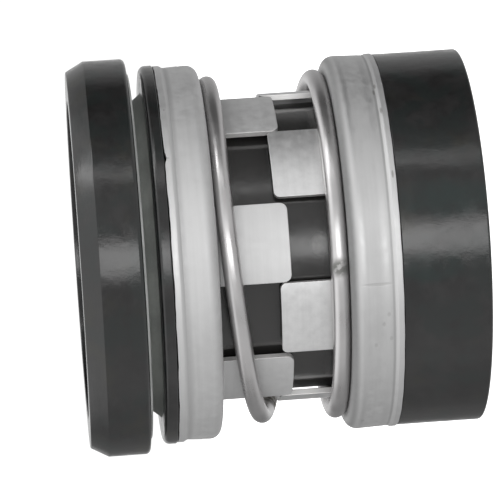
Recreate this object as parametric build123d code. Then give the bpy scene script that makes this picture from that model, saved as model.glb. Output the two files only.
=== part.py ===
"""Component mechanical seal for a 25 mm shaft: an elastomer bellows head with one coil spring, and its
cup mounted stationary seat.

The shaft axis is +Z. The head stands on the end face of its rubber tail, at z = 0, and the seat lies on
the face of the primary ring, as the two run in use. Lengths are in millimetres and angles in degrees.
"""

import math
import os

from build123d import *

# Shaft, and the clearances round it
shaft_diameter = 25.0
sleeve_shaft_clearance = 0.3
ring_shaft_clearance = 1.4
seat_shaft_clearance = 1.7

# Clearances between pieces
metal_rubber_gap = 0.05  # between a sheet shell, or a ring, and the rubber that holds it
sleeve_tab_gap = 0.5  # from the thin sleeve of the bellows out to the tabs
spring_tab_gap = 0.32  # from the tabs out to the spring
spring_seat_gap = 0.03  # between the end coils and the shoulder faces
drive_gap = 0.08  # at the tab edges that pass the torque on
rim_notch = 0.1  # between the lip and the rim of the retainer

# Bellows: the tail that grips the shaft, the thin sleeve, and the head with its lip
tail_length = 8.65
tail_inset = 0.13  # by which the tail lies inside the drive band's wall
tail_edge_round = 0.35
grip_length = 12.4
sleeve_wall = 1.6
sleeve_waist_depth = 0.1
sleeve_waist_slope = 2.0
head_depth = 4.25
head_back_round = 0.5
lip_thickness = 1.35
lip_overhang = 0.09  # by which the lip stands out over the rim of the retainer
lip_round = 1.1
lip_edge_round = 0.2

# Sheet metal that both tabbed shells are pressed from
sheet = 0.6
shell_over_spring = 1.26  # from the outside of the spring out to the wall of the shells
shell_waist_depth = 0.12  # the wall is drawn in a little between its shoulder and its rim
shoulder_round = 1.15
tab_bend_radius = 0.35
tab_web_land = 0.1  # flat edge of the shoulder face, inside the spring and outside the tab bends
tab_count = 6

# Drive band, the shell on the tail
band_width = 5.0
band_rim_flare = 0.1
band_rim_width = 0.95
band_tab_length = 6.65
band_tab_corner = 0.6

# Retainer, the shell round the head of the bellows
retainer_width = 4.45
retainer_rim_flare = 0.2
retainer_rim_width = 1.1
retainer_tab_length = 7.15
retainer_tab_corner = 0.75
retainer_tab_angle = 28.9
retainer_tab_start = 271.4  # where its first tab is centred, counted from +X
tab_play_angle = 2.1  # free turn between the two sets of tabs

# Coil spring between the two shells
wire_diameter = 1.8
spring_space = 12.65  # from shoulder face to shoulder face
spring_start_angle = 90.0
low_coil_angle = 255.0  # this much of the wire lies flat on the drive band
rising_angle = 315.0
high_coil_angle = 200.0
spring_step_angle = 30.0

# Primary ring
ring_width = 2.5  # from its bore to its outside
ring_length = 4.25
ring_stand_out = 1.1
ring_chamfer_depth = 0.94

# Stationary seat
seat_ring_width = 4.35
seat_ring_stand_out = 0.25
seat_ring_edge_break = 0.2
seat_wall = 1.4
seat_back_wall = 1.2
seat_back_lap = 2.4  # by which the rubber laps over the back of the ring
seat_cup_length = 6.0
seat_front_round = 0.5
seat_back_chamfer_length = 1.8
seat_back_chamfer_depth = 1.0

# Heights, worked out upwards from the tail
band_rim_z = tail_length
band_face_z = band_rim_z + band_width
retainer_face_z = band_face_z + spring_space
retainer_rim_z = retainer_face_z + retainer_width
lip_back_z = retainer_rim_z + rim_notch
lip_front_z = lip_back_z + lip_thickness
nose_z = lip_front_z + ring_stand_out
ring_back_z = nose_z - ring_length
seat_cup_z = nose_z + seat_ring_stand_out
seat_back_z = seat_cup_z + seat_cup_length

# Radii, worked out outwards from the shaft
bore_radius = shaft_diameter / 2
waist_inner_radius = bore_radius + sleeve_shaft_clearance
waist_radius = waist_inner_radius + sleeve_wall
sleeve_radius = waist_radius + sleeve_waist_depth
tab_inner_radius = sleeve_radius + sleeve_tab_gap
tab_outer_radius = tab_inner_radius + sheet
web_radius = tab_outer_radius + tab_bend_radius + tab_web_land
spring_radius = tab_outer_radius + spring_tab_gap + wire_diameter / 2
shell_radius = spring_radius + wire_diameter / 2 + shell_over_spring
shell_waist_radius = shell_radius - shell_waist_depth
rubber_under_shell = shell_waist_radius - sheet - metal_rubber_gap
tail_radius = shell_radius - tail_inset
lip_radius = shell_waist_radius + retainer_rim_flare + lip_overhang
ring_bore_radius = bore_radius + ring_shaft_clearance
ring_radius = ring_bore_radius + ring_width
seat_ring_bore_radius = bore_radius + seat_shaft_clearance
seat_ring_radius = seat_ring_bore_radius + seat_ring_width
seat_bore_radius = seat_ring_radius + metal_rubber_gap
seat_radius = seat_bore_radius + seat_wall

# Shares of the circle that the tabs take
tab_pitch_angle = 360 / tab_count
drive_gap_angle = math.degrees(drive_gap / tab_outer_radius)
band_tab_angle = tab_pitch_angle - retainer_tab_angle - tab_play_angle - drive_gap_angle
band_tab_start = retainer_tab_start - retainer_tab_angle / 2 - drive_gap_angle - band_tab_angle / 2


def rounded_section(corners):
    """Flat section in the XZ plane. Each of its corners is (radius, height, corner round)."""
    section = make_face(Polyline([(r, 0, z) for r, z, _ in corners], close=True))
    for r, z, corner_round in corners:
        if corner_round > 0:
            section = fillet(section.vertices().sort_by_distance((r, 0, z))[0], corner_round)
    return section


def turned(corners):
    """Solid of revolution about Z, from the corners of its section."""
    return revolve(rounded_section(corners), Axis.Z)


def tabs(width, tab_length, tab_angle, tab_corner, tab_angles):
    """Tabs bent up from the inner edge of a shoulder face at z = width. Each is a strip of the sheet
    rolled to the tab ring, with radial side edges and rounded corners at its tip."""
    tip_z = width + tab_length
    section = rounded_section(
        [
            (web_radius, width, 0),
            (tab_outer_radius, width, tab_bend_radius),
            (tab_outer_radius, tip_z, 0),
            (tab_inner_radius, tip_z, 0),
            (tab_inner_radius, width - sheet, tab_bend_radius + sheet),
            (web_radius, width - sheet, 0),
        ]
    )
    strip = revolve(section, Axis.Z, revolution_arc=tab_angle)
    strip = fillet(strip.edges().filter_by(GeomType.LINE).group_by(Axis.Z)[-1], tab_corner)
    return [Rot(0, 0, angle - tab_angle / 2) * strip for angle in tab_angles]


def tabbed_shell(width, rim_flare, rim_width, tab_length, tab_angle, tab_corner, tab_angles):
    """Cup pressed from sheet, its rim at z = 0 and its shoulder face at z = width. Tabs stand up from
    the inner edge of the face."""
    rim_radius = shell_waist_radius + rim_flare
    shell = turned(
        [
            (rim_radius, 0, 0),
            (rim_radius, rim_width / 2, 0),
            (shell_waist_radius, rim_width, 0),
            (shell_radius, width, shoulder_round),
            (web_radius, width, 0),
            (web_radius, width - sheet, 0),
            (shell_waist_radius - sheet, width - sheet, shoulder_round - sheet),
            (shell_waist_radius - sheet, rim_width, 0),
            (rim_radius - sheet, rim_width / 2, 0),
            (rim_radius - sheet, 0, 0),
        ]
    )
    for tab in tabs(width, tab_length, tab_angle, tab_corner, tab_angles):
        shell += tab
    return shell


def drive_band():
    """Shell on the tail. Its tabs point to the front and drive the tabs of the retainer."""
    angles = [band_tab_start + tab_pitch_angle * i for i in range(tab_count)]
    shell = tabbed_shell(
        band_width,
        band_rim_flare,
        band_rim_width,
        band_tab_length,
        band_tab_angle,
        band_tab_corner,
        angles,
    )
    return Pos(0, 0, band_rim_z) * shell


def retainer():
    """Shell round the head of the bellows. It is turned over, so its tabs point to the tail."""
    angles = [-(retainer_tab_start + tab_pitch_angle * i) for i in range(tab_count)]
    shell = tabbed_shell(
        retainer_width,
        retainer_rim_flare,
        retainer_rim_width,
        retainer_tab_length,
        retainer_tab_angle,
        retainer_tab_corner,
        angles,
    )
    return Pos(0, 0, retainer_rim_z) * Rot(180, 0, 0) * shell


def spring_point(angle):
    """Centre of the wire, this many degrees along from its lower end. The end coils lie flat, and
    the wire rises smoothly from one to the other."""
    along = min(max((angle - low_coil_angle) / rising_angle, 0), 1)
    rise = spring_space - wire_diameter - 2 * spring_seat_gap
    height = band_face_z + spring_seat_gap + wire_diameter / 2 + rise * along * along * (3 - 2 * along)
    turn = math.radians(spring_start_angle + angle)
    return Vector(spring_radius * math.cos(turn), spring_radius * math.sin(turn), height)


def spring():
    """One round wire, wound right handed between the shoulders of the two shells."""
    total = low_coil_angle + rising_angle + high_coil_angle
    steps = math.ceil(total / spring_step_angle)
    path = Spline([spring_point(total * i / steps) for i in range(steps + 1)])
    section = Plane(origin=path @ 0, z_dir=path % 0) * Circle(wire_diameter / 2)
    return sweep(section, path=path, is_frenet=True)


def bellows():
    """One rubber moulding: the tail that grips the shaft, the thin sleeve under the tabs, and the head
    that holds the primary ring in its lip."""
    band_seat_z = band_rim_z - metal_rubber_gap
    band_fill_z = band_face_z - sheet - metal_rubber_gap
    shell_corner = shoulder_round - sheet + metal_rubber_gap
    head_back_z = lip_front_z - head_depth
    ring_seat_radius = ring_radius + metal_rubber_gap
    ring_seat_z = ring_back_z - metal_rubber_gap
    waist_low_z = band_face_z + sleeve_waist_slope
    waist_high_z = retainer_face_z - sleeve_waist_slope
    return turned(
        [
            (bore_radius, 0, 0),
            (tail_radius, 0, tail_edge_round),
            (tail_radius, band_seat_z, 0),
            (rubber_under_shell, band_seat_z, 0),
            (rubber_under_shell, band_fill_z, shell_corner),
            (sleeve_radius, band_fill_z, 0),
            (sleeve_radius, band_face_z, 0),
            (waist_radius, waist_low_z, 0),
            (waist_radius, waist_high_z, 0),
            (sleeve_radius, retainer_face_z, 0),
            (sleeve_radius, head_back_z, 0),
            (rubber_under_shell, head_back_z, head_back_round),
            (rubber_under_shell, lip_back_z, 0),
            (lip_radius, lip_back_z, 0),
            (lip_radius, lip_front_z, lip_round),
            (ring_seat_radius, lip_front_z, lip_edge_round),
            (ring_seat_radius, ring_seat_z, 0),
            (ring_bore_radius, ring_seat_z, 0),
            (ring_bore_radius, head_back_z, 0),
            (sleeve_radius - sleeve_wall, retainer_face_z, 0),
            (waist_inner_radius, waist_high_z, 0),
            (waist_inner_radius, waist_low_z, 0),
            (sleeve_radius - sleeve_wall, band_face_z, 0),
            (bore_radius, grip_length, 0),
        ]
    )


def primary_ring():
    """Face ring of the head. Its chamfered nose stands out of the rubber lip."""
    return turned(
        [
            (ring_bore_radius, ring_back_z, 0),
            (ring_radius, ring_back_z, 0),
            (ring_radius, lip_front_z, 0),
            (ring_radius - ring_chamfer_depth, nose_z, 0),
            (ring_bore_radius, nose_z, 0),
        ]
    )


def seat_ring():
    """Face ring of the seat, lapped on the side that meets the primary ring."""
    ring_top_z = seat_back_z - seat_back_wall - metal_rubber_gap
    ring = turned(
        [
            (seat_ring_bore_radius, nose_z, 0),
            (seat_ring_radius, nose_z, 0),
            (seat_ring_radius, ring_top_z, 0),
            (seat_ring_bore_radius, ring_top_z, 0),
        ]
    )
    return chamfer(ring.edges().filter_by(GeomType.CIRCLE), seat_ring_edge_break)


def seat_cup():
    """Rubber cup that seals the seat ring into its housing, with a chamfer that leads it in."""
    back_opening_radius = seat_bore_radius - seat_back_lap
    back_wall_z = seat_back_z - seat_back_wall
    return turned(
        [
            (seat_radius, seat_cup_z, seat_front_round),
            (seat_radius, seat_back_z - seat_back_chamfer_length, 0),
            (seat_radius - seat_back_chamfer_depth, seat_back_z, 0),
            (back_opening_radius, seat_back_z, 0),
            (back_opening_radius, back_wall_z, 0),
            (seat_bore_radius, back_wall_z, 0),
            (seat_bore_radius, seat_cup_z, 0),
        ]
    )


os.makedirs("parts", exist_ok=True)
pieces = {
    "bellows": bellows(),
    "drive_band": drive_band(),
    "spring": spring(),
    "retainer": retainer(),
    "primary_ring": primary_ring(),
    "seat_ring": seat_ring(),
    "seat_cup": seat_cup(),
}
for name, piece in pieces.items():
    export_step(piece, f"parts/{name}.step")
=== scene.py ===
"""Looks of the component mechanical seal: a rubber bellows head with one coil spring, and its seat.

The row frame has the shaft along +Z. Every length is in metres and every angle in degrees.
"""

import math

import bpy
from mathutils import Matrix, Vector
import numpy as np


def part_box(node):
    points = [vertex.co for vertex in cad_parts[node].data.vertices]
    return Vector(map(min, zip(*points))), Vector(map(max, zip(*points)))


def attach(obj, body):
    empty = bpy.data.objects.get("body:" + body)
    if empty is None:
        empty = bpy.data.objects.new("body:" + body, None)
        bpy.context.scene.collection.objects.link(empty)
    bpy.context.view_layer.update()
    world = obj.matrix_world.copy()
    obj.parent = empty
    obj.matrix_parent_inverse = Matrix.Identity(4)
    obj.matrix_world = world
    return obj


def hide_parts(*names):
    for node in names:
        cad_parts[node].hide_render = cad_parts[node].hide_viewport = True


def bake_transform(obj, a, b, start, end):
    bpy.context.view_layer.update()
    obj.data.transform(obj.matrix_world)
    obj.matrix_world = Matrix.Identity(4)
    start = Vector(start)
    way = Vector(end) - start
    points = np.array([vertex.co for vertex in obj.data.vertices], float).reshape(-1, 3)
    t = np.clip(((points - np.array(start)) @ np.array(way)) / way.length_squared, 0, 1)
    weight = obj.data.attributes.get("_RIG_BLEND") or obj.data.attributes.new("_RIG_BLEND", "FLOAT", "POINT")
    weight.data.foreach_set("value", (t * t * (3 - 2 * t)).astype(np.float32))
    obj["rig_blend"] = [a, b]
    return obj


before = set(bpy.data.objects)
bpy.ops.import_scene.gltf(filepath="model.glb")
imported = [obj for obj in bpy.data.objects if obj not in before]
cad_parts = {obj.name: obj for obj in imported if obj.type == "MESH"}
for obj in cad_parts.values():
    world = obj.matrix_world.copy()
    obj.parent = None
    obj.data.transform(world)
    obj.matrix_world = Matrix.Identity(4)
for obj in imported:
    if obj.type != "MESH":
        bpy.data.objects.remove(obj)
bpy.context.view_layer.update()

# Places read from the frame
band_low, band_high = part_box("drive_band")
retainer_low, retainer_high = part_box("retainer")
bellows_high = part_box("bellows")[1]
spring_low, spring_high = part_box("spring")
ring_low, ring_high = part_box("primary_ring")
seat_ring_low, seat_ring_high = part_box("seat_ring")
seat_cup_low, seat_cup_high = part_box("seat_cup")

# Sheet metal of the two tabbed shells
sheet = 0.0006
sheet_edge_round = 0.00006
sheet_edge_middle = 0.29  # share of that round from either face to its middle
shell_radius = 0.01898
shell_waist_radius = 0.01886
valley_depth = 0.00004  # of the fine valley between a shell's wall and its rim
rim_shares = (0.55, 0.9, 1.4)  # of the rim's width: the end of its flat, the valley and the wall's start
rim_round = 0.0003
valley_round = 0.0002
shoulder_round = 0.00115
tab_outer_radius = 0.0156
tab_bend_radius = 0.00035
web_radius = 0.01605
band_width = 0.005
band_rim_width = 0.00095
band_tab_corner = 0.0006
band_tab_angle = 28.7
band_tab_start = 242.3
retainer_width = 0.00445
retainer_rim_width = 0.0011
retainer_tab_corner = 0.00075
retainer_tab_angle = 28.9
retainer_tab_start = 271.4
tab_count = 6
nick_angle = 299.0
nick_half_width = 0.7
nick_dent = 0.00004
nick_depth = 0.0002

# Spring
wire_radius = 0.0009
wire_end_round = 0.00015
spring_radius = max(spring_high.x, spring_high.y) - wire_radius
spring_start_angle = 90.0
low_coil_angle = 255.0
rising_angle = 315.0
high_coil_angle = 200.0

# Rubber and rings
bore_radius = 0.0125
sleeve_waist_radius = 0.0144
sleeve_radius = 0.0145
sleeve_wall = 0.0016
sleeve_waist_slope = 0.002
grip_length = 0.0124
under_shell_radius = 0.01821
tail_radius = 0.01885
ring_bore_radius = 0.0139
ring_nose_radius = 0.01546
lip_thickness = 0.00135
head_depth = 0.00425
rubber_gap = 0.00005
seat_ring_bore_radius = 0.0142
seat_opening_radius = 0.0162
seat_back_wall = 0.0012
seat_chamfer_length = 0.0018
seat_chamfer_depth = 0.001

# Rounds of the rubber and the rings
least_round = 0.00005  # of every corner, as real edges have it
fine_round = 0.0001
small_round = 0.0002
tail_round = 0.00025
shell_floor_round = 0.0006
waist_round = 0.002
head_round = 0.0005
lip_round = 0.0011
seat_round = 0.0005

# Heights
band_rim_z = band_low.z
band_face_z = band_rim_z + band_width
retainer_rim_z = retainer_high.z
retainer_face_z = retainer_rim_z - retainer_width
lip_front_z = bellows_high.z
lip_back_z = lip_front_z - lip_thickness


# ---------------------------------------------------------------- shapes


def eased(value, low, high):
    """Smooth step, 0 up to the low value and 1 from the high one."""
    along = min(max((value - low) / (high - low), 0), 1)
    return along * along * (3 - 2 * along)


def rounded(corners, closed=True, arc_step=15):
    """Points along an outline whose corners are (radius, height, round). Sharp corners get the least
    round."""
    points = []
    count = len(corners)
    for i, (r, z, corner_round) in enumerate(corners):
        here = Vector((r, z))
        if not closed and i in (0, count - 1):
            points.append(here)
            continue
        before = Vector(corners[i - 1][:2]) - here
        after = Vector(corners[(i + 1) % count][:2]) - here
        turn = math.pi - before.angle(after)
        if turn < math.radians(2):
            points.append(here)
            continue
        reach = min(before.length, after.length) * 0.49
        radius = min(max(corner_round, least_round), reach / math.tan(turn / 2))
        inward = (before.normalized() + after.normalized()).normalized()
        middle = here + inward * radius / math.cos(turn / 2)
        first = here + before.normalized() * radius * math.tan(turn / 2) - middle
        last = here + after.normalized() * radius * math.tan(turn / 2) - middle
        steps = max(2, math.ceil(math.degrees(turn) / arc_step))
        for k in range(steps + 1):
            share = k / steps
            spoke = first * math.sin((1 - share) * turn) + last * math.sin(share * turn)
            points.append(middle + spoke.normalized() * radius)
    return points


def piece(name, verts, faces):
    """New mesh object in the scene."""
    mesh = bpy.data.meshes.new(name)
    mesh.from_pydata(verts, [], faces)
    mesh.validate()
    mesh.update()
    for polygon in mesh.polygons:
        polygon.use_smooth = True
    obj = bpy.data.objects.new(name, mesh)
    bpy.context.scene.collection.objects.link(obj)
    return obj


def even_shading(obj):
    """Flats stay flat up to the small rounds beside them."""
    obj.modifiers.new("even_shading", "WEIGHTED_NORMAL")
    return obj


def split_long(points, longest, closed=True):
    """The outline with its long straight runs divided."""
    ends = points[1:] + points[:1] if closed else points[1:]
    divided = []
    for point, after in zip(points, ends):
        parts = max(1, math.ceil((after - point).length / longest))
        divided += [point.lerp(after, k / parts) for k in range(parts)]
    return divided if closed else divided + points[-1:]


def lathe(name, corners, longest=0.001):
    """Closed section of (radius, height, round) corners, turned about Z."""
    segments = 240
    outline = split_long(rounded(corners), longest)
    count = len(outline)
    verts = []
    for j in range(segments):
        turn = 2 * math.pi * j / segments
        verts += [(p.x * math.cos(turn), p.x * math.sin(turn), p.y) for p in outline]
    faces = []
    for j in range(segments):
        k = (j + 1) % segments
        for i in range(count):
            n = (i + 1) % count
            faces.append((j * count + i, k * count + i, k * count + n, j * count + n))
    return even_shading(piece(name, verts, faces))


def shell_columns(tab_angle, tab_corner, first_angle):
    """Columns round a tabbed shell as (angle, drop, lean, rise, inside a tab). The drop is how far the
    end of a tab lies back at that column, and (lean, rise) is the way its edge faces there, round and
    along."""
    corner_steps, flat_steps, gap_steps = 6, 12, 14
    half = tab_angle / 2
    inset = math.degrees(tab_corner / tab_outer_radius)
    corner = []
    for k in range(corner_steps + 1):
        turn = math.radians(90 * k / corner_steps)
        c, s = math.cos(turn), math.sin(turn)
        corner.append((inset * (1 - c), tab_corner * (1 - s), c, s))
    columns = []
    for i in range(tab_count):
        middle = first_angle + 360 / tab_count * i
        for along, drop, lean, rise in corner:
            columns.append((middle - half + along, drop, -lean, rise, True))
        for k in range(1, flat_steps):
            columns.append((middle + (half - inset) * (2 * k / flat_steps - 1), 0, 0, 1, True))
        for along, drop, lean, rise in reversed(corner):
            columns.append((middle + half - along, drop, lean, rise, True))
        gap = 360 / tab_count - tab_angle
        columns += [(middle + half + gap * k / gap_steps, 0, 0, 0, False) for k in range(1, gap_steps)]
    return columns


def tabbed_shell(name, side, start_z, width, rim, tip_z, tab):
    """Pressed shell with its rim at start_z. side is 1 where its tabs point up and -1 where they point
    down. rim is (radius, width, wave), where wave(angle) moves it (out, back), and tab is (angle,
    corner, first tab's angle)."""
    row_length, bend_steps, tab_steps = 0.0006, 6, 12
    rim_radius, rim_width, wave = rim
    flat_end, valley, wall_start = (rim_width * share for share in rim_shares)
    columns = shell_columns(*tab)
    tip = abs(tip_z - start_z)
    cup = rounded(
        [
            (rim_radius, 0, 0),
            (rim_radius, flat_end, rim_round),
            (shell_waist_radius - valley_depth, valley, valley_round),
            (shell_waist_radius, wall_start, rim_round),
            (shell_radius, width, shoulder_round),
            (web_radius, width, 0),
        ],
        closed=False,
        arc_step=9,
    )
    rows = split_long(cup, row_length, closed=False)
    last_cup = len(rows) - 1
    bend_middle = Vector((tab_outer_radius, width)) + Vector((1, 1)) * tab_bend_radius
    for k in range(bend_steps + 1):
        turn = math.radians(90 * k / bend_steps)
        rows.append(bend_middle - Vector((math.sin(turn), math.cos(turn))) * tab_bend_radius)
    last_bend = len(rows) - 1
    rows += [Vector((tab_outer_radius, bend_middle.y))] * tab_steps

    # Way out of the metal at each row, as (radius, height)
    outward = []
    for i in range(len(rows)):
        run = rows[min(i + 1, last_bend)] - rows[max(i - 1, 0)]
        outward.append(Vector((run.y, -run.x)).normalized() if 0 < i < last_bend else Vector((1, 0)))

    def edge_way(i, j):
        """Way in which the sheet's edge faces there, as (round, radius, height)."""
        lean, rise, in_tab = columns[j][2:]
        tab_side = abs(lean) == 1
        if i == 0:
            return Vector((0, 0, -1))
        if i == last_cup:
            return Vector((lean if tab_side else 0, -1 if tab_side or not in_tab else 0, 0))
        return Vector((lean, 0, rise * max(0, i - last_bend) / tab_steps))

    def in_space(turn, way):
        """(round, radius, height) at this turn as a vector in the row frame."""
        c, s = math.cos(turn), math.sin(turn)
        return Vector((way[1] * c - way[0] * s, way[1] * s + way[0] * c, side * way[2]))

    def point(i, j, shrink, depth):
        """Point of the sheet, this deep under its outer face and pulled in this far at its edges."""
        angle, drop = columns[j][:2]
        way = edge_way(i, j)
        turn = math.radians(angle) - way[0] * shrink / tab_outer_radius
        r, z = rows[i] - outward[i] * depth
        z += (tip - drop - bend_middle.y) * max(0, i - last_bend) / tab_steps
        out, back = wave(angle)
        near_rim = max(0, 1 - z / rim_width)
        r += out * near_rim - way[1] * shrink
        z += back * near_rim
        return in_space(turn, (0, r, z - way[2] * shrink)) + Vector((0, 0, start_z))

    # From the outer face round the edge to the inner face, as (pulled in, depth, lean)
    edge, middle = sheet_edge_round, sheet_edge_round * sheet_edge_middle
    levels = [(edge, 0, 0), (middle, middle, 45), (0, edge, 90)]
    levels += [(shrink, sheet - depth, 180 - lean) for shrink, depth, lean in reversed(levels)]
    top = len(levels) - 1
    verts, normals, used = [], [], {}

    def vertex(i, j, level):
        """Number of the vertex there, which is made where it is new."""
        j %= len(columns)
        if (i, j, level) not in used:
            shrink, depth, lean = levels[level]
            used[i, j, level] = len(verts)
            verts.append(point(i, j, shrink, depth))
            turn, lean = math.radians(columns[j][0]), math.radians(lean)
            face_way = in_space(turn, (0, outward[i].x, outward[i].y))
            rim_way = in_space(turn, edge_way(i, j)).normalized()
            normals.append((face_way * math.cos(lean) + rim_way * math.sin(lean)).normalized())
        return used[i, j, level]

    def filled(i, j):
        """Is there metal between this row and column and the next ones?"""
        in_tab = columns[j % len(columns)][4] and columns[(j + 1) % len(columns)][4]
        return 0 <= i < last_cup or (last_cup <= i < len(rows) - 1 and in_tab)

    faces = []
    for j in range(len(columns)):
        for i in range(len(rows) - 1):
            if not filled(i, j):
                continue
            corners = [(i, j), (i, j + 1), (i + 1, j + 1), (i + 1, j)]
            faces.append([vertex(*c, 0) for c in corners])
            faces.append([vertex(*c, top) for c in reversed(corners)])
            beyond = [filled(i - 1, j), filled(i, j + 1), filled(i + 1, j), filled(i, j - 1)]
            for k in range(4):
                if beyond[k]:
                    continue
                a, b = corners[k], corners[(k + 1) % 4]
                for n in range(top):
                    faces.append([vertex(*b, n), vertex(*a, n), vertex(*a, n + 1), vertex(*b, n + 1)])
    obj = piece(name, verts, faces)
    if side < 0:
        obj.data.flip_normals()
    obj.data.normals_split_custom_set_from_vertices(normals)
    return obj


def coil_point(angle):
    """Centre of the wire, this many degrees along from its lower end."""
    low, high = spring_low.z + wire_radius, spring_high.z - wire_radius
    height = low + (high - low) * eased(angle, low_coil_angle, low_coil_angle + rising_angle)
    turn = math.radians(spring_start_angle + angle)
    return Vector((spring_radius * math.cos(turn), spring_radius * math.sin(turn), height))


def coil(name):
    """Round wire along the coils, with slightly rounded cut ends, and the height of the wire's centre at
    each of its points. Its UV map runs along and round the wire."""
    total = low_coil_angle + rising_angle + high_coil_angle
    around, step = 24, 2
    halfway = wire_end_round * 0.3
    cut = [
        (0, 0),
        (wire_radius - wire_end_round, 0),
        (wire_radius - halfway, halfway),
        (wire_radius, wire_end_round),
    ]
    rings = [(0, radius, ahead) for radius, ahead in cut]
    rings += [(angle, wire_radius, 0) for angle in range(step, int(total) - 1, step)]
    rings += [(total, radius, -ahead) for radius, ahead in reversed(cut)]
    verts, heights = [], []
    for angle, radius, ahead in rings:
        run = (coil_point(angle + 0.5) - coil_point(angle - 0.5)).normalized()
        here = coil_point(angle) + run * ahead
        up = run.cross(Vector((here.x, here.y, 0))).normalized()
        out = up.cross(run)
        for k in range(around):
            turn = 2 * math.pi * k / around
            verts.append(here + (out * math.cos(turn) + up * math.sin(turn)) * radius)
            heights.append(here.z)
    corners = [(i, k) for i in range(len(rings) - 1) for k in range(around)]
    faces = []
    for i, k in corners:
        n = (k + 1) % around
        faces.append((i * around + k, i * around + n, (i + 1) * around + n, (i + 1) * around + k))
    obj = piece(name, verts, faces)
    uv = obj.data.uv_layers.new(name="wire").data
    arc = math.radians(1) * spring_radius
    for polygon, (i, k) in zip(obj.data.polygons, corners):
        for loop, (di, dk) in zip(polygon.loop_indices, [(0, 0), (0, 1), (1, 1), (1, 0)]):
            uv[loop].uv = (rings[i + di][0] * arc, (k + dk) / around)
    return obj, heights


# ---------------------------------------------------------------- materials


rubber_black = (0.004, 0.0038, 0.0038), (0.0092, 0.0089, 0.0089)
rubber_dust = (0.0085, 0.0083, 0.006)
rubber_film = (0.0048, 0.0064, 0.0061)
sleeve_dust = (0.016, 0.0153, 0.0148)
# painted highlight colour for the sheet's cut edges
edge_highlight_metal = (0.95, 0.94, 0.93)
stained_metal = (0.25, 0.24, 0.23)
pitted_metal = (0.42, 0.42, 0.41)
wire_metal = (0.55, 0.54, 0.54), (0.62, 0.61, 0.61)
face_radius = 0.0165  # half way out on the rings' faces


class Nodes:
    """Short ways to add nodes to a tree."""

    def __init__(self, tree):
        self.tree = tree

    def node(self, kind, inputs=(), **settings):
        """New node. Each of its inputs is a value or a socket to link."""
        node = self.tree.nodes.new(kind)
        for key, value in settings.items():
            setattr(node, key, value)
        for key, value in dict(inputs).items():
            if isinstance(value, bpy.types.NodeSocket):
                self.tree.links.new(value, node.inputs[key])
            else:
                node.inputs[key].default_value = value
        return node

    def math(self, operation, a, b=0.0, c=0.0):
        return self.node("ShaderNodeMath", {0: a, 1: b, 2: c}, operation=operation).outputs[0]

    def ramp(self, value, low, high, to_low=0.0, to_high=1.0):
        """The value, turned smoothly from one range into another."""
        inputs = {"Value": value, "From Min": low, "From Max": high, "To Min": to_low, "To Max": to_high}
        return self.node("ShaderNodeMapRange", inputs, interpolation_type="SMOOTHSTEP").outputs[0]

    def tint(self, value, base, other):
        """The base socket, changed to the other colour where the value is high."""
        mix = self.node("ShaderNodeMix", {0: value, 6: base}, data_type="RGBA")
        mix.inputs[7].default_value = (*other, 1)
        return mix.outputs[2]


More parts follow.
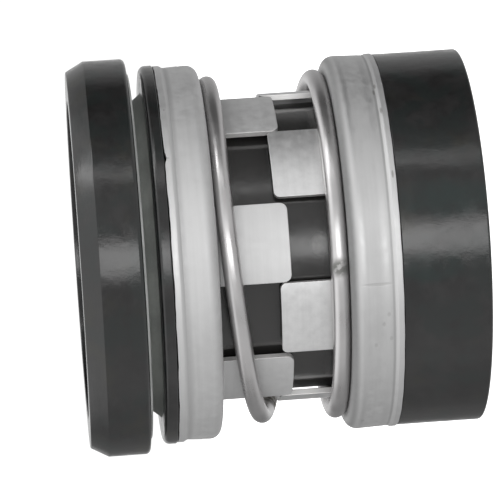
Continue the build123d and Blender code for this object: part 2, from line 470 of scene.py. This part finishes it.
class Look(Nodes):
    """A material in the making."""

    def __init__(self, name, color, metallic, roughness, **sockets):
        self.material = bpy.data.materials.new(name)
        self.material.use_nodes = True
        super().__init__(self.material.node_tree)
        self.shader = self.tree.nodes["Principled BSDF"]
        self.shader.inputs["Base Color"].default_value = (*color, 1)
        self.shader.inputs["Metallic"].default_value = metallic
        self.shader.inputs["Roughness"].default_value = roughness
        for socket, value in sockets.items():
            self.shader.inputs[socket.replace("_", " ")].default_value = value
        self.normal = None

    def place(self):
        """Point in the piece's own space, in metres."""
        return self.node("ShaderNodeTexCoord").outputs["Object"]

    def unrolled(self, radius):
        """(length round the axis, height, distance from the axis), in metres."""
        parts = self.node("ShaderNodeSeparateXYZ", {0: self.place()}).outputs
        turn = self.math("ARCTAN2", parts[1], parts[0])
        flat = self.node("ShaderNodeCombineXYZ", {0: parts[0], 1: parts[1]}).outputs[0]
        reach = self.node("ShaderNodeVectorMath", {0: flat}, operation="LENGTH").outputs["Value"]
        around = self.math("MULTIPLY", turn, radius)
        return self.node("ShaderNodeCombineXYZ", {0: around, 1: parts[2], 2: reach}).outputs[0]

    def noise(self, vector, size, detail=3.0, rough=0.5, stretch=(1, 1, 1), offset=(0, 0, 0)):
        """Noise from 0 to 1 with features of this size, longer along a stretched direction."""
        scale = [1 / (size * s) for s in stretch]
        scaled = self.node("ShaderNodeVectorMath", {0: vector, 1: scale}, operation="MULTIPLY").outputs[0]
        moved = self.node("ShaderNodeVectorMath", {0: scaled, 1: offset}, operation="ADD").outputs[0]
        noise = self.node("ShaderNodeTexNoise", {"Vector": moved, "Detail": detail, "Roughness": rough})
        noise.inputs["Scale"].default_value = 1
        return noise.outputs[0]

    def stripe(self, vector, height, half_width):
        """Soft line round the piece, 1 at that height and 0 outside the half width."""
        parts = self.node("ShaderNodeSeparateXYZ", {0: vector}).outputs
        away = self.math("ABSOLUTE", self.math("SUBTRACT", parts[1], height))
        return self.ramp(away, 0, half_width, 1, 0)

    def patch(self, vector, centre, size):
        """Soft mark, 1 at that (length round, height) and 0 outside the size."""
        parts = self.node("ShaderNodeSeparateXYZ", {0: vector}).outputs
        across = self.math("DIVIDE", self.math("SUBTRACT", parts[0], centre[0]), size[0])
        along = self.math("DIVIDE", self.math("SUBTRACT", parts[1], centre[1]), size[1])
        far = self.math("MULTIPLY_ADD", across, across, self.math("MULTIPLY", along, along))
        return self.ramp(far, 0.15, 1, 1, 0)

    def color(self, value, dark, light):
        """Base colour that runs from dark to light with the value."""
        mix = self.node("ShaderNodeMix", {0: value}, data_type="RGBA")
        mix.inputs[6].default_value = (*dark, 1)
        mix.inputs[7].default_value = (*light, 1)
        return mix.outputs[2]

    def paint(self, socket):
        self.tree.links.new(socket, self.shader.inputs["Base Color"])

    def rough(self, socket):
        self.tree.links.new(socket, self.shader.inputs["Roughness"])

    def bump(self, height, depth, strength=1.0):
        """Relief of this depth, in metres, on top of any that was added before."""
        inputs = {"Height": height, "Distance": depth, "Strength": strength}
        if self.normal is not None:
            inputs["Normal"] = self.normal
        self.normal = self.node("ShaderNodeBump", inputs).outputs[0]
        self.tree.links.new(self.normal, self.shader.inputs["Normal"])


def rubber(name, radius, painted_light_patches=()):
    """Black moulded rubber: a soft gloss with smudges, faint lines round it and a fine grain, dusty on the
    thin sleeve, with patches of painted light. Each patch is (length round, height), (size round, size
    along) and its colour."""
    look = Look(name, (0.006, 0.006, 0.006), 0.0, 0.2, Specular_IOR_Level=0.7)
    place, flat = look.place(), look.unrolled(radius)
    smudge = look.noise(place, 0.0028, 5, 0.7)
    film = look.noise(place, 0.003, 4, 0.6, offset=(4, 0, 0))
    dust_and_highlight = look.noise(place, 0.004, 4, 0.6, offset=(0, 9, 0))
    lines = look.noise(flat, 0.00018, 2, stretch=(60, 1, 1))
    bands = look.noise(flat, 0.0009, 3, stretch=(30, 1, 1))
    grain = look.noise(place, 0.00012, 3)
    base = look.color(look.ramp(smudge, 0.35, 0.7), *rubber_black)
    base = look.tint(look.ramp(dust_and_highlight, 0.52, 0.7), base, rubber_dust)
    base = look.tint(look.ramp(film, 0.47, 0.62), base, rubber_film)
    reach = look.node("ShaderNodeSeparateXYZ", {0: flat}).outputs[2]
    base = look.tint(look.ramp(reach, sleeve_radius, tab_outer_radius, 0.8, 0), base, sleeve_dust)
    # painted light: these patches paint a highlight and a teal sheen into the rubber's colour
    for centre, size, color in painted_light_patches:
        thin = look.math("MULTIPLY", look.patch(flat, centre, size), look.ramp(film, 0.35, 0.6, 0.3, 1))
        base = look.tint(thin, base, color)
    look.paint(base)
    worn = look.ramp(smudge, 0.4, 0.62, 0.05, 0.16)
    worn = look.math("MULTIPLY_ADD", lines, 0.06, worn)
    look.rough(look.math("MULTIPLY_ADD", bands, 0.06, worn))
    look.bump(look.noise(place, 0.0025, 4), 0.00008, 0.6)
    look.bump(grain, 0.000012, 0.7)
    look.bump(lines, 0.00001, 0.3)
    return look


def steel(name, radius, shade, tabs, burnish_and_light_stripes=(), pits=(), stains=()):
    """Pressed stainless sheet: satin and neutral, faintly banded round it, with a fine mottle, painted
    highlights on the sheared edges and a few pits. tabs is the tabs' colour, painted lighter than the wall
    for the light they catch, and how much smoother they are. Each stripe is a height, its half width, how
    much lighter (painted highlight) or darker (painted shade) it is painted, and how much smoother it was
    burnished there. Each pit and stain is (length round, height), (size round, size along)."""
    look = Look(name, (shade,) * 3, 1.0, 0.62)
    place, flat = look.place(), look.unrolled(radius)
    shift = shade * 9  # unlike for the two shells, so that their marks differ
    cloud = look.noise(place, 0.006, 3, offset=(shift, 0, 0))
    mottle = look.noise(place, 0.0008, 4, 0.6, offset=(0, shift, 0))
    bands = look.noise(flat, 0.0006, 3, stretch=(30, 1, 1), offset=(0, shift, 0))
    lines = look.noise(flat, 0.0001, 3, stretch=(40, 1, 1), offset=(0, shift, 0))
    tone = look.math("MULTIPLY_ADD", mottle, 0.4, look.math("MULTIPLY", cloud, 0.35))
    tone = look.math("MULTIPLY_ADD", bands, 0.25, tone)
    base = look.color(look.ramp(tone, 0.35, 0.65), (shade * 0.94,) * 3, (shade * 1.06,) * 3)
    worn = look.math("MULTIPLY_ADD", lines, 0.08, look.ramp(mottle, 0.3, 0.7, 0.57, 0.65))
    reach = look.node("ShaderNodeSeparateXYZ", {0: flat}).outputs[2]
    inside = look.ramp(reach, tab_outer_radius, web_radius, 1, 0)
    # painted light: the tabs take their own lighter colour, which stands in for the light they catch
    base = look.tint(look.math("MULTIPLY", inside, tone), base, (tabs[0],) * 3)
    # painted highlight: faces turned round the axis, which are the sheet's cut edges, are painted near-white
    facing = look.node("ShaderNodeTexCoord").outputs["Normal"]
    cross = look.node("ShaderNodeVectorMath", {0: place, 1: facing}, operation="CROSS_PRODUCT").outputs[0]
    sideways = look.node("ShaderNodeSeparateXYZ", {0: cross}).outputs[2]
    sideways = look.math("DIVIDE", look.math("ABSOLUTE", sideways), reach)
    base = look.tint(look.ramp(sideways, 0.6, 0.9), base, edge_highlight_metal)
    worn = look.math("MULTIPLY_ADD", inside, -tabs[1], worn)
    # painted light: each stripe's colour is lighter as a painted highlight or darker as painted shade, while
    # its smoother roughness is the burnish
    for height, half_width, painted_light, smoother in burnish_and_light_stripes:
        stripe = look.stripe(flat, height, half_width)
        base = look.tint(stripe, base, (shade * painted_light,) * 3)
        worn = look.math("MULTIPLY_ADD", stripe, -smoother, worn)
    for centre, size in stains:
        stain = look.math("MULTIPLY", look.patch(flat, centre, size), 0.6)
        base = look.tint(stain, base, stained_metal)
    for centre, size in pits:
        hollow = look.patch(flat, centre, size)
        base = look.tint(look.math("MULTIPLY", hollow, 0.35), base, pitted_metal)
        look.bump(hollow, -0.000012)
    look.paint(base)
    look.rough(worn)
    look.bump(mottle, 0.000012, 0.3)
    look.bump(lines, 0.000005, 0.3)
    return look


def wire_steel(wire_patches):
    """Drawn and polished spring wire, with fine lines along it. Each patch is a place, its reach and its
    colour, and the wire is darker and rougher there."""
    look = Look("spring_wire", (0.58, 0.57, 0.57), 1.0, 0.2)
    along = look.node("ShaderNodeUVMap", uv_map="wire").outputs[0]
    place = look.place()
    drawn = look.noise(along, 0.05, 3, stretch=(0.12, 1, 1))
    cloud = look.noise(place, 0.004, 3)
    spots = look.noise(place, 0.0006, 3)
    base = look.color(look.ramp(cloud, 0.3, 0.7), *wire_metal)
    worn = look.math("MULTIPLY_ADD", drawn, 0.1, look.ramp(cloud, 0.3, 0.7, 0.22, 0.3))
    for spot, reach, color in wire_patches:
        away = look.node("ShaderNodeVectorMath", {0: place, 1: spot}, operation="DISTANCE")
        near = look.ramp(away.outputs["Value"], reach * 0.4, reach, 1, 0)
        darker_patch = look.math("MULTIPLY", near, look.ramp(spots, 0.35, 0.55, 0.5, 1))
        base = look.tint(darker_patch, base, color)
        worn = look.math("MULTIPLY_ADD", darker_patch, 0.3, worn)
    look.paint(base)
    look.rough(worn)
    look.bump(drawn, 0.00001, 0.5)
    return look


def face(name, dark, light, roughness):
    """Sintered ring material, ground all over: a cloudy grey with a fine grain and grinding lines."""
    look = Look(name, light, 0.0, roughness)
    place, flat = look.place(), look.unrolled(face_radius)
    cloud = look.noise(place, 0.0035, 4)
    grain = look.noise(place, 0.00015, 2)
    lines = look.noise(flat, 0.00009, 2, stretch=(70, 1, 1))
    tone = look.math("MULTIPLY_ADD", grain, 0.3, look.math("MULTIPLY", cloud, 0.7))
    look.paint(look.color(look.ramp(tone, 0.35, 0.68), dark, light))
    worn = look.ramp(cloud, 0.3, 0.7, roughness - 0.05, roughness + 0.1)
    look.rough(look.math("MULTIPLY_ADD", lines, 0.15, worn))
    look.bump(lines, 0.000008, 0.35)
    return look


# ---------------------------------------------------------------- pieces


def ripple(angle, *waves):
    """Sum of waves round a rim. Each is (height, how many go round, start)."""
    turn = math.radians(angle)
    return sum(height * math.sin(count * turn + start) for height, count, start in waves)


def retainer_wave(angle):
    """(out, back) of the retainer's sheared rim: a slow wave, a burr and the nick that it took."""
    out = ripple(angle, (0.00002, 5, 0.6), (0.000015, 11, 0))
    back = ripple(angle, (0.000025, 17, 0), (0.000015, 43, 1), (0.00001, 97, 0))
    away = ((angle - nick_angle + 180) % 360 - 180) / nick_half_width
    nick = math.exp(-away * away)
    return out - nick_dent * nick, back + nick_depth * nick


def band_wave(angle):
    """(out, back) of the drive band's rim."""
    return ripple(angle, (0.000012, 4, 0), (0.00001, 9, 1)), ripple(angle, (0.00001, 31, 0))


band_rim = (band_high.x, band_rim_width, band_wave)
band_tab = (band_tab_angle, band_tab_corner, band_tab_start)
drive_band = tabbed_shell("drive_band_shell", 1, band_rim_z, band_width, band_rim, band_high.z, band_tab)
retainer_rim = (retainer_high.x, retainer_rim_width, retainer_wave)
retainer_tab = (retainer_tab_angle, retainer_tab_corner, retainer_tab_start)
retainer = tabbed_shell(
    "retainer_shell", -1, retainer_rim_z, retainer_width, retainer_rim, retainer_low.z, retainer_tab
)
spring, spring_heights = coil("coil_spring")

head_back_z = lip_front_z - head_depth
waist_low_z = band_face_z + sleeve_waist_slope
waist_high_z = retainer_face_z - sleeve_waist_slope
ring_seat_z = ring_low.z - rubber_gap
ring_seat_radius = ring_high.x + rubber_gap
bellows = lathe(
    "bellows_rubber",
    [
        (bore_radius, 0, 0),
        (tail_radius, 0, tail_round),
        (tail_radius, band_rim_z - rubber_gap, fine_round),
        (under_shell_radius, band_rim_z - rubber_gap, 0),
        (under_shell_radius, band_face_z - sheet - rubber_gap, shell_floor_round),
        (sleeve_radius, band_face_z - sheet - rubber_gap, 0),
        (sleeve_radius, band_face_z, shell_floor_round),
        (sleeve_waist_radius, waist_low_z, waist_round),
        (sleeve_waist_radius, waist_high_z, waist_round),
        (sleeve_radius, retainer_face_z, shell_floor_round),
        (sleeve_radius, head_back_z, 0),
        (under_shell_radius, head_back_z, head_round),
        (under_shell_radius, lip_back_z, 0),
        (bellows_high.x, lip_back_z, fine_round),
        (bellows_high.x, lip_front_z, lip_round),
        (ring_seat_radius, lip_front_z, small_round),
        (ring_seat_radius, ring_seat_z, 0),
        (ring_bore_radius, ring_seat_z, 0),
        (ring_bore_radius, head_back_z, 0),
        (sleeve_radius - sleeve_wall, retainer_face_z, 0),
        (sleeve_waist_radius - sleeve_wall, waist_high_z, 0),
        (sleeve_waist_radius - sleeve_wall, waist_low_z, 0),
        (sleeve_radius - sleeve_wall, band_face_z, 0),
        (bore_radius, grip_length, 0),
    ],
    longest=0.0007,
)
primary_ring = lathe(
    "primary_ring_face",
    [
        (ring_bore_radius, ring_low.z, 0),
        (ring_high.x, ring_low.z, 0),
        (ring_high.x, lip_front_z, 0),
        (ring_nose_radius, ring_high.z, 0),
        (ring_bore_radius, ring_high.z, 0),
    ],
)
seat_ring = lathe(
    "seat_ring_face",
    [
        (seat_ring_bore_radius, seat_ring_low.z, small_round),
        (seat_ring_high.x, seat_ring_low.z, small_round),
        (seat_ring_high.x, seat_ring_high.z, small_round),
        (seat_ring_bore_radius, seat_ring_high.z, small_round),
    ],
)
seat_bore_radius = seat_ring_high.x + rubber_gap
seat_cup = lathe(
    "seat_cup_rubber",
    [
        (seat_cup_high.x, seat_cup_low.z, seat_round),
        (seat_cup_high.x, seat_cup_high.z - seat_chamfer_length, small_round),
        (seat_cup_high.x - seat_chamfer_depth, seat_cup_high.z, small_round),
        (seat_opening_radius, seat_cup_high.z, fine_round),
        (seat_opening_radius, seat_cup_high.z - seat_back_wall, 0),
        (seat_bore_radius, seat_cup_high.z - seat_back_wall, 0),
        (seat_bore_radius, seat_cup_low.z, fine_round),
    ],
)


def mark(angle, height, size):
    """Place and size of a mark on a shell's wall, as Look.patch takes them."""
    return (math.radians((angle + 180) % 360 - 180) * shell_radius, height), size


# Each stripe is (height, half width, painted light, how much smoother). Painted light above 1 is a painted
# highlight on the rim, beside its valley and on the bend; below 1 it is painted shade in the valley and
# beside the shoulder where the wire sits
band_burnish_and_light = [
    (band_rim_z + 0.0004, 0.0007, 1.09, 0.1),
    (band_rim_z + 0.00098, 0.0002, 0.8, 0),
    (band_rim_z + 0.0016, 0.0006, 1.06, 0.1),
    (band_face_z - 0.0012, 0.00045, 1.03, 0.13),
    (band_face_z - 0.0003, 0.0006, 0.58, 0),
]
# painted highlight on the retainer's rim, and painted shade in the valley beside it
retainer_burnish_and_light = [
    (retainer_rim_z - 0.0003, 0.0007, 1.1, 0.09),
    (retainer_rim_z - 0.0011, 0.0005, 0.86, 0),
]

# Marks on the shells, at (angle, height from the rim)
pit_size, stain_size = (0.0003, 0.00022), (0.0005, 0.00014)
pit_spots = [(237.3, 0.0028), (239.3, 0.0013), (247.3, 0.0015), (244.2, 0.002), (199.1, 0.0037)]
stain_spots = [(323.1, 0.0008), (320, 0.001), (311.6, 0.0006), (289.2, 0.0003)]
band_pits = [mark(angle, band_rim_z + up, pit_size) for angle, up in pit_spots]
band_pits.append(mark(256.8, band_rim_z + 0.0025, (0.0002, 0.0018)))  # a scratch along the wall
band_stains = [mark(angle, band_rim_z + up, stain_size) for angle, up in stain_spots]
nick_spot = mark(nick_angle, retainer_rim_z - 0.0003, (0.00016, 0.00022))
rim_spot = mark(317.5, retainer_rim_z - 0.0004, (0.0001, 0.0001))
# The tabs' colours, 0.98 and 0.76, are painted lighter than the walls for the light they catch
band_steel = steel("band_steel", shell_radius, 0.61, (0.98, 0.2), band_burnish_and_light, band_pits, band_stains)
retainer_steel = steel(
    "retainer_steel", shell_radius, 0.65, (0.76, 0), retainer_burnish_and_light, [nick_spot], [rim_spot]
)

# Painted light on the rubber, at (angle, height), with (size round, size along) and colour: a painted
# highlight on the sleeve where the key lamp's reflection falls, and a painted teal sheen above and below the
# tail's highlight
dust_and_highlight, painted_teal_sheen = (0.09, 0.088, 0.086), (0.0035, 0.0085, 0.0078)
painted_light_spots = [
    # painted highlight on the sleeve, where the key lamp's reflection falls
    (-90, band_face_z + 0.0025, (0.0017, 0.0011), dust_and_highlight),
    # painted teal sheen above and below the tail's highlight
    (-79.5, 0.004, (0.0025, 0.007), painted_teal_sheen),
    (-99, 0.006, (0.002, 0.004), painted_teal_sheen),
]
painted_light_patches = [((math.radians(turn) * tail_radius, up), size, color) for turn, up, size, color in painted_light_spots]

# Darker patches on the wire: a scuff on its outer side, and a brown darkening on its lower side where it
# meets a tab
wire_patches = [
    (coil_point(172) * Vector((1.027, 1.027, 1)), 0.0013, (0.24, 0.24, 0.23)),
    (coil_point(433) - Vector((0, 0, 0.0008)), 0.003, (0.18, 0.17, 0.145)),
]
primary_face = face("primary_grey", (0.26, 0.275, 0.26), (0.37, 0.385, 0.365), 0.3)
seat_face = face("seat_grey", (0.17, 0.175, 0.17), (0.25, 0.255, 0.25), 0.28)
finishes = [
    (drive_band, "drive_band", "pressed_steel", band_steel),
    (retainer, "retainer", "pressed_steel", retainer_steel),
    (spring, "spring", "spring_wire", wire_steel(wire_patches)),
    (bellows, "bellows", "rubber", rubber("bellows_black", tail_radius, painted_light_patches)),
    (seat_cup, "seat_cup", "rubber", rubber("seat_black", seat_cup_high.x)),
    (primary_ring, "primary_ring", "primary_face", primary_face),
    (seat_ring, "seat_ring", "seat_face", seat_face),
]
for obj, node, slot, look in finishes:
    obj.data.materials.append(look.material)
    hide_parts(node)

for obj, body in [(drive_band, "drive_unit"), (retainer, "face_unit"), (primary_ring, "face_unit")]:
    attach(obj, body)
for obj in (seat_ring, seat_cup):
    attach(obj, "seat_unit")

# The sleeve and the wire shorten between the two shells
low_end, high_end = (0, 0, band_face_z), (0, 0, retainer_face_z)
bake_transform(bellows, "drive_unit", "face_unit", start=low_end, end=high_end)
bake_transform(spring, "drive_unit", "face_unit", start=low_end, end=high_end)
for value, height in zip(spring.data.attributes["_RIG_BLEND"].data, spring_heights):
    value.value = eased(height, band_face_z, retainer_face_z)


# ---------------------------------------------------------------- studio


def area_light(name, place, target, size, power):
    light = bpy.data.lights.new(name, "AREA")
    light.shape = "RECTANGLE"
    light.size, light.size_y = size
    light.energy = power
    obj = bpy.data.objects.new(name, light)
    obj.location = place
    obj.rotation_euler = (Vector(target) - Vector(place)).to_track_quat("-Z", "Y").to_euler()
    bpy.context.scene.collection.objects.link(obj)


scene = bpy.context.scene
scene.view_settings.view_transform = "Standard"

floor_half = 0.6
floor_corners = [(x * floor_half, y * floor_half, 0) for x, y in ((-1, -1), (1, -1), (1, 1), (-1, 1))]
floor = piece("floor", floor_corners, [(0, 1, 2, 3)])
floor_look = Look(
    "pale_floor", (0.93, 0.93, 0.93), 0.0, 0.9, Emission_Color=(1, 1, 1, 1), Emission_Strength=1.0
)
floor_cloud = floor_look.noise(floor_look.place(), 0.4)
floor_look.paint(floor_look.color(floor_cloud, (0.92, 0.92, 0.92), (0.94, 0.94, 0.94)))
floor.data.materials.append(floor_look.material)
floor.visible_glossy = False
floor.visible_shadow = False

middle = (0, 0, 0.02)
area_light("key", (-0.01, -0.6, 0.03), middle, (0.19, 0.6), 0.95)
area_light("strip", (0.446, -0.4, 0.03), middle, (0.06, 0.5), 0.14)
area_light("side", (0.438, -0.223, 0.344), middle, (0.12, 0.4), 0.4)

# The studio's walls, as brightness round the horizon. 0 is behind the camera, 90 is the side of +X,
# which the picture shows at its top, and 180 is behind the object.
wall_levels = [
    (-180, 0.9),
    (-160, 0.2),
    (-122, 0.3),
    (-92, 0.5),
    (-80, 0.68),
    (-27, 0.6),
    (28, 0.65),
    (58, 0.42),
    (69, 0.26),
    (93, 0.09),
    (119, 0.09),
    (128, 0.36),
    (160, 0.5),
    (180, 0.9),
]
ceiling_level = 1.2
ground_level = 0.65
backdrop_level = 1.1  # behind the object, as the camera sees it
wall_top, ceiling_start = 0.35, 0.75  # in the up part of the way, and the same downwards


def studio_walls():
    """The studio's walls, with its pale ceiling and ground, as the world's colour."""
    world = bpy.data.worlds.new("studio")
    world.use_nodes = True
    scene.world = world
    nodes = Nodes(world.node_tree)
    way = nodes.node("ShaderNodeTexCoord").outputs["Generated"]
    parts = nodes.node("ShaderNodeSeparateXYZ", {0: way}).outputs
    turn = nodes.math("ARCTAN2", parts[0], nodes.math("MULTIPLY", parts[1], -1))
    share = nodes.math("MULTIPLY_ADD", turn, 0.5 / math.pi, 0.5)
    ramp = nodes.node("ShaderNodeValToRGB", {0: share})
    stops = ramp.color_ramp.elements
    while len(stops) < len(wall_levels):
        stops.new(0.5)
    for stop, (angle, level) in zip(stops, wall_levels):
        stop.position = angle / 360 + 0.5
        stop.color = (level, level, level, 1)
    over = nodes.ramp(parts[2], wall_top, ceiling_start)
    under = nodes.ramp(parts[2], -ceiling_start, -wall_top, 1, 0)
    lit = nodes.tint(over, ramp.outputs[0], (ceiling_level,) * 3)
    lit = nodes.tint(under, lit, (ground_level,) * 3)
    seen = nodes.node("ShaderNodeLightPath").outputs["Is Camera Ray"]
    background = nodes.tree.nodes["Background"]
    nodes.tree.links.new(nodes.tint(seen, lit, (backdrop_level,) * 3), background.inputs["Color"])


studio_walls()

# Camera: it looks along +Y, rolled so that the shaft axis runs from right to left across the picture
camera_distance = 0.35
camera_shift = (0.021943, -0.001644)
camera_roll = -3.91
camera_yaw = -3.70
focal_pixels, picture_pixels = 3437.4, 500
camera_data = bpy.data.cameras.new("camera")
camera_data.sensor_width = 36
camera_data.lens = focal_pixels / picture_pixels * camera_data.sensor_width
camera = bpy.data.objects.new("camera", camera_data)
scene.collection.objects.link(camera)
lying = Matrix(((0, 0, -1, 0), (-1, 0, 0, 0), (0, 1, 0, 0), (0, 0, 0, 1)))
roll = Matrix.Rotation(math.radians(camera_roll), 4, "Z")
turned = roll @ Matrix.Rotation(math.radians(camera_yaw), 4, "Y")
view = Matrix.Translation((*camera_shift, camera_distance)) @ turned @ lying
camera.matrix_world = (Matrix.Diagonal((1, -1, -1, 1)) @ view).inverted()
scene.camera = camera
